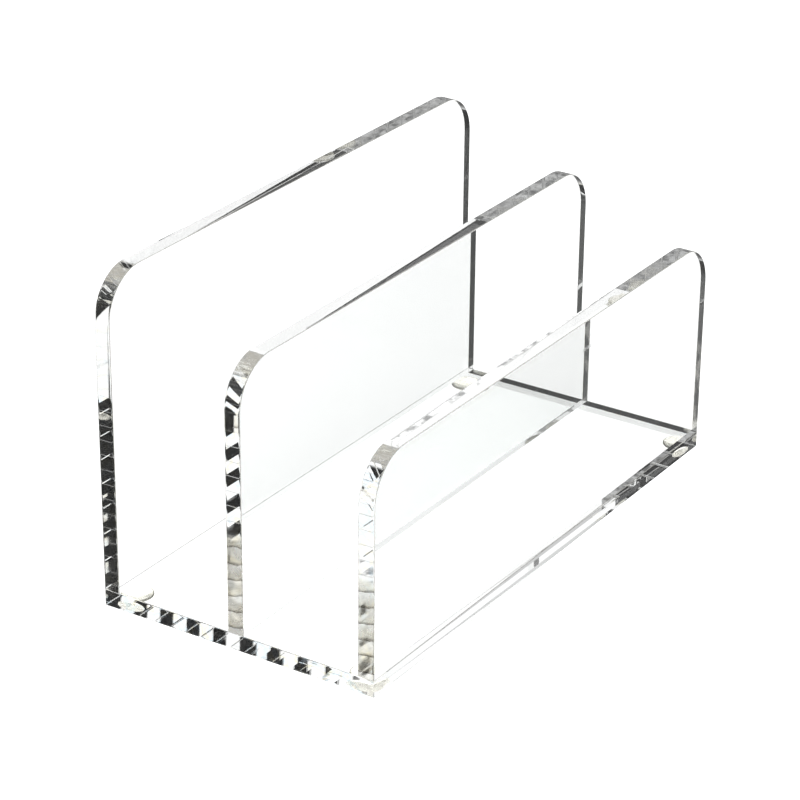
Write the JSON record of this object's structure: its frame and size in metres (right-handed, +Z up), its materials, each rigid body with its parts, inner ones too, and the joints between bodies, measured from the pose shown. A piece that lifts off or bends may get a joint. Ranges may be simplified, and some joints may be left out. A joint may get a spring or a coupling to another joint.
{
  "type": "letter sorter",
  "caption": "Clear acrylic letter sorter: a flat base plate with upright dividers that step down towards the front, rounded top corners, polished edges and clear bumper feet.",
  "frame": {"origin": "on the desk plane, under the middle of the base plate", "axes": "+X along the dividers, +Y from the low front divider to the tall rear divider, +Z up"},
  "size_m": [0.212, 0.105, 0.1192],
  "materials": {
    "clear_acrylic": "polished",
    "bumper": "satin",
    "adhesive": "satin"
  },
  "bodies": {
    "root": {"base_plate": "clear_acrylic", "rear_divider": "clear_acrylic", "middle_divider": "clear_acrylic", "front_divider": "clear_acrylic", "bumper_front_left": "bumper", "bumper_front_right": "bumper", "bumper_rear_left": "bumper", "bumper_rear_right": "bumper", "adhesive_front_left": "adhesive", "adhesive_front_right": "adhesive", "adhesive_rear_left": "adhesive", "adhesive_rear_right": "adhesive"}
  },
  "joints": []
}
